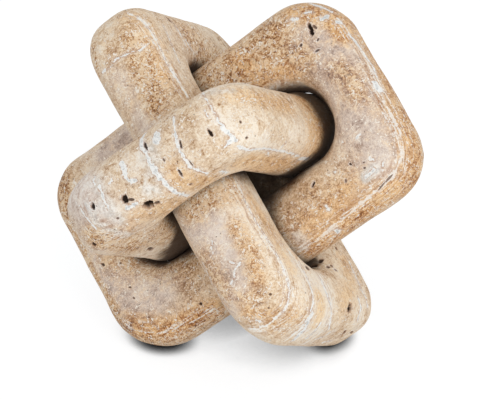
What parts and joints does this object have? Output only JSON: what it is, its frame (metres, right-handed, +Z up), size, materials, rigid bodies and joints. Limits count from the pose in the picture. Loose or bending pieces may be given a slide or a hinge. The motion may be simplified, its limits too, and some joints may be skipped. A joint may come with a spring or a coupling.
{
  "type": "stone knot sculpture",
  "caption": "Interlocked rounded rectangular loops of travertine, carved as a knot that stands on its corners as a table ornament.",
  "frame": {"origin": "under the middle of the knot's box, on the surface that it stands on", "axes": "+Z up; +Y level, the way that the picture's camera looks; +X to its right"},
  "size_m": [0.1992, 0.2008, 0.1787],
  "materials": {
    "tan_travertine": "honed, unfilled travertine with tan and brown bedding, white calcite veins and open pits",
    "cream_travertine": "honed, unfilled travertine, cream to beige, with grey-white calcite fills and open pits",
    "beige_travertine": "honed, unfilled travertine, beige with brown bands, white calcite veins and open pits"
  },
  "bodies": {
    "root": {"face_link": "tan_travertine", "cross_link": "cream_travertine", "upright_link": "beige_travertine"}
  },
  "joints": []
}
